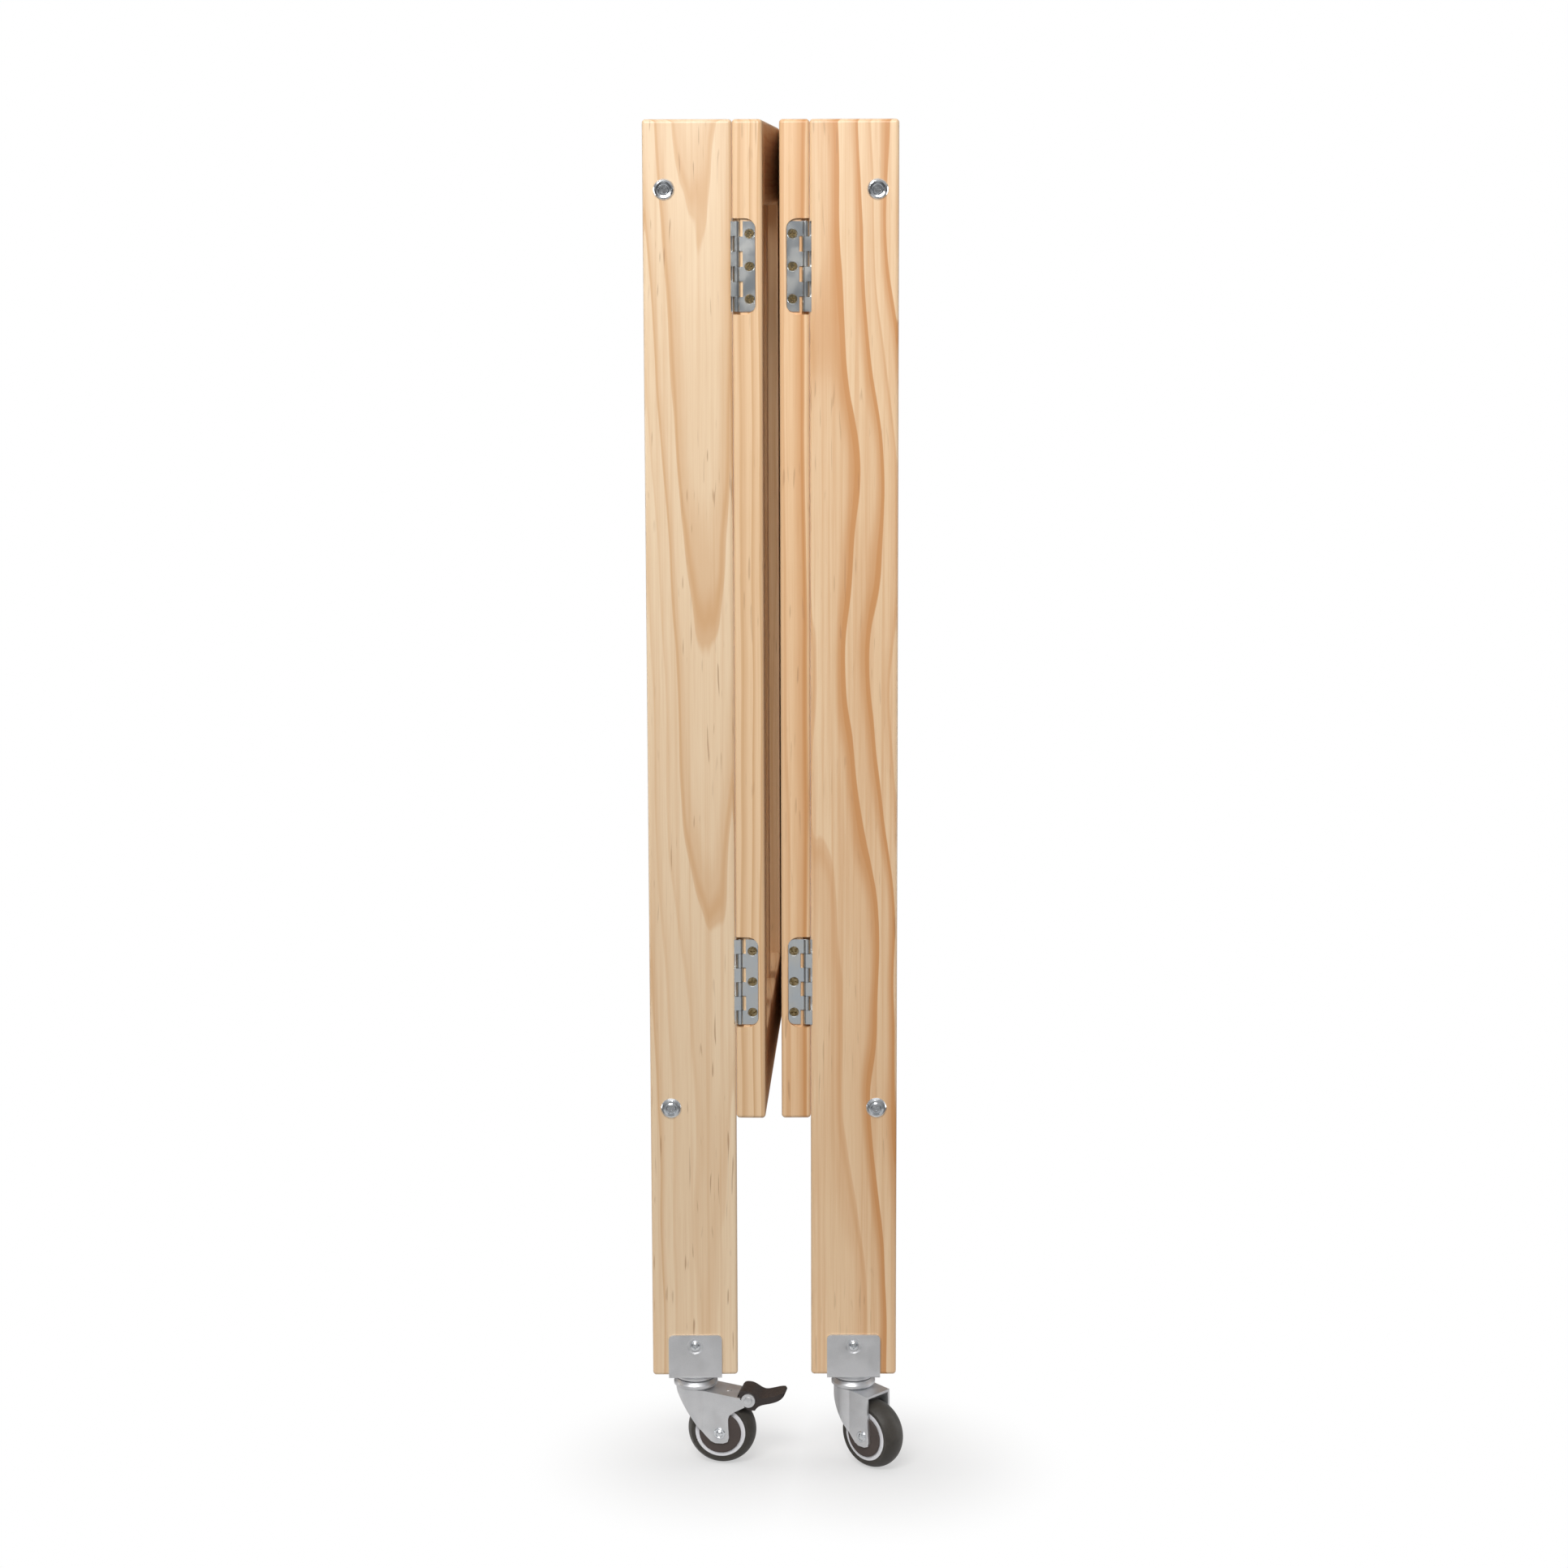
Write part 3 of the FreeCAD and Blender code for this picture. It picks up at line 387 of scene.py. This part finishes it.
def dress_other_wood(done):
    """Everything else of wood: a figure drawn for each piece, with the grain along its length."""
    slots = {part["node"]: part["material_slot"] for part in frame["record"]["subparts"]}
    for node in sorted(frame["nodes"]):
        if node in done or not slots[node].endswith("pine"):
            continue
        low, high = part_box(node)
        size = high - low
        in_gate = "_gate_" in node
        # Painted shade: gate pieces other than the near stiles take a darker, more orange copy of the pine,
        # standing in for the shade in the narrow gap between the gates
        warm = random.uniform(1.2, 1.7) if in_gate else random.random()  # above 1, warmer than WARM
        light = tuple(a * (1 - warm) + b * warm for a, b in zip(PALE, WARM))
        late = tuple(a * (1 - warm) + b * warm for a, b in zip(LATE_PALE, LATE_WARM))
        pith = (random.choice((-1, 1)) * random.uniform(0.02, 0.06), random.uniform(0.03, 0.07))
        dress(node, pine(
            "pine_" + node, middle(node), pith=pith, ring=random.uniform(0.004, 0.007),
            light=light, late=late, depth=random.uniform(0.45, 0.65), sway=random.uniform(0.008, 0.014),
            lean=(random.uniform(-0.02, 0.02), random.uniform(-0.02, 0.02)), flecks=0.4,
            seed=random.uniform(0, 20), grain="Z" if size.z > size.y else "Y",
            coat=GATE_COAT if in_gate else FRAME_COAT,
        ))


def dress_hardware():
    by_slot = {
        "bright_zinc": bright_zinc("bright_zinc"),
        "nut_steel": bright_zinc("nut_steel", (0.62, 0.63, 0.64), (0.28, 0.40)),
        "bracket_zinc": sheet_zinc("bracket_zinc"),
        "hinge_zinc": hinge_zinc("hinge_zinc"),
        "yellow_zinc": yellow_zinc("yellow_zinc"),
        "guard_plastic": moulded("guard_plastic", (0.060, 0.044, 0.039), 0.46),
        "tyre_rubber": rubber("tyre_rubber"),
        "core_plastic": moulded("core_plastic", (0.72, 0.72, 0.75), 0.28, 500.0, 0.00003),
        "pedal_plastic": moulded("pedal_plastic", (0.030, 0.022, 0.020), 0.42, 700.0, 0.00009),
    }
    for part in frame["record"]["subparts"]:
        if part["material_slot"] in by_slot:
            dress(part["node"], by_slot[part["material_slot"]])


# Studio

def floor():
    """A white floor with a soft shadow at each caster, plain white to the eye away from them.

    Away from the object it gives back little light, as the dim room in front of a lit set does.
    """
    mesh = bpy.data.meshes.new("floor")
    half = FLOOR_SIZE / 2
    corners = [(-half, -half, 0), (half, -half, 0), (half, half, 0), (-half, half, 0)]
    mesh.from_pydata(corners, [], [(0, 1, 2, 3)])
    plane = bpy.data.objects.new("floor", mesh)
    bpy.context.scene.collection.objects.link(plane)
    s = Shader("studio_floor")
    here = s.place()
    plain = 1.0  # share of plain white, least right at a caster
    for corner, (near, far) in SHADOW_REACH.items():
        wheel = middle(corner + "_tyre")
        away = s.vector("LENGTH", s.vector("SUBTRACT", here, (wheel.x, wheel.y, 0.0)))
        plain = s.math("MINIMUM", s.spread(away, near, far, CONTACT_WHITE), plain)
    bounce = s.spread(s.vector("LENGTH", here), *FLOOR_FADE, *FLOOR_ALBEDO)
    s.set(Base_Color=s.join(bounce, bounce, bounce), Roughness=0.9, Specular_IOR_Level=0.1)
    white = s.add("ShaderNodeEmission")
    s.feed(white.inputs["Color"], (1.0, 1.0, 1.0))
    s.feed(white.inputs["Strength"], 1.0)
    seen = s.add("ShaderNodeLightPath").outputs["Is Camera Ray"]
    blend = s.add("ShaderNodeMixShader")
    s.feed(blend.inputs[0], s.math("MULTIPLY", plain, seen))
    s.tree.links.new(s.bsdf.outputs[0], blend.inputs[1])
    s.tree.links.new(white.outputs[0], blend.inputs[2])
    s.tree.links.new(blend.outputs[0], s.tree.nodes["Material Output"].inputs["Surface"])
    plane.data.materials.append(s.material)


def area_light(name, place, target, size, power, colour=(1.0, 1.0, 1.0)):
    data = bpy.data.lights.new(name, "AREA")
    data.shape = "RECTANGLE"
    data.size, data.size_y = size
    data.energy = power
    data.color = colour
    lamp = bpy.data.objects.new(name, data)
    lamp.location = place
    lamp.visible_camera = False
    lamp.rotation_euler = (Vector(target) - Vector(place)).to_track_quat("-Z", "Y").to_euler()
    bpy.context.scene.collection.objects.link(lamp)


def surroundings():
    """World light: brightest overhead, dim from the horizon down, and plain white to the camera."""
    world = bpy.data.worlds.new("studio")
    bpy.context.scene.world = world
    world.use_nodes = True
    tree = world.node_tree
    nodes, links = tree.nodes, tree.links
    direction = nodes.new("ShaderNodeTexCoord").outputs["Generated"]
    split = nodes.new("ShaderNodeSeparateXYZ")
    links.new(direction, split.inputs[0])
    height = nodes.new("ShaderNodeValToRGB")
    while len(height.color_ramp.elements) < len(SKY_LEVELS):
        height.color_ramp.elements.new(0.5)
    for element, (position, level) in zip(height.color_ramp.elements, SKY_LEVELS):
        element.position = position
        element.color = (level, level, level * SKY_BLUE, 1.0)
    rise = nodes.new("ShaderNodeMath")  # -1..1 to 0..1
    rise.operation = "MULTIPLY_ADD"
    rise.inputs[1].default_value = 0.5
    rise.inputs[2].default_value = 0.5
    links.new(split.outputs["Z"], rise.inputs[0])
    links.new(rise.outputs[0], height.inputs[0])
    shade = nodes["Background"]
    links.new(height.outputs[0], shade.inputs["Color"])
    shade.inputs["Strength"].default_value = SKY_STRENGTH
    plain = nodes.new("ShaderNodeBackground")
    plain.inputs["Color"].default_value = (1.0, 1.0, 1.0, 1.0)
    pick = nodes.new("ShaderNodeMixShader")
    links.new(nodes.new("ShaderNodeLightPath").outputs["Is Camera Ray"], pick.inputs[0])
    links.new(shade.outputs[0], pick.inputs[1])
    links.new(plain.outputs[0], pick.inputs[2])
    links.new(pick.outputs[0], nodes["World Output"].inputs["Surface"])


def lights():
    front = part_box("left_front_post")[0].y
    top = cad_high.z
    key = (-0.32, front - 1.45, top + 0.62)
    area_light("key", key, (0, front, top - 0.1), (1.0, 0.6), KEY_POWER, (1.0, 0.99, 0.975))
    area_light("overhead", (0.0, 0.0, top + 1.6), (0.0, 0.0, 0.0), (2.4, 2.4), OVERHEAD_POWER)
    area_light("low_card", (0.0, front - 1.0, 0.22), (0.0, front, 0.35), (1.5, 0.4), LOW_CARD_POWER)
    for name, side in (("left_side", -1), ("right_side", 1)):
        area_light(name, (side * 1.5, front + 0.22, 0.62), (0, front + 0.2, 0.62), (0.5, 1.3), SIDE_POWER)


def camera():
    posts = [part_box("left_front_post"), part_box("right_front_post")]
    front = min(low.y for low, _ in posts)
    centre = (posts[0][1].x + posts[1][0].x) / 2
    data = bpy.data.cameras.new("camera")
    data.sensor_width = SENSOR
    data.lens = FOCAL_PIXELS / FRAME_PIXELS * SENSOR
    data.shift_y = LENS_DROP
    data.clip_end = 50.0
    view = bpy.data.objects.new("camera", data)
    view.location = (centre + CAMERA_RIGHT, front - CAMERA_DISTANCE, posts[0][1].z - CAMERA_BELOW_TOP)
    view.rotation_euler = (math.radians(90 - CAMERA_TILT), math.radians(CAMERA_ROLL), 0.0)
    bpy.context.scene.collection.objects.link(view)
    bpy.context.scene.camera = view


def main():
    dress_other_wood(dress_front_wood())
    dress_hardware()
    floor()
    surroundings()
    lights()
    camera()
    bpy.context.scene.view_settings.view_transform = "Standard"


main()
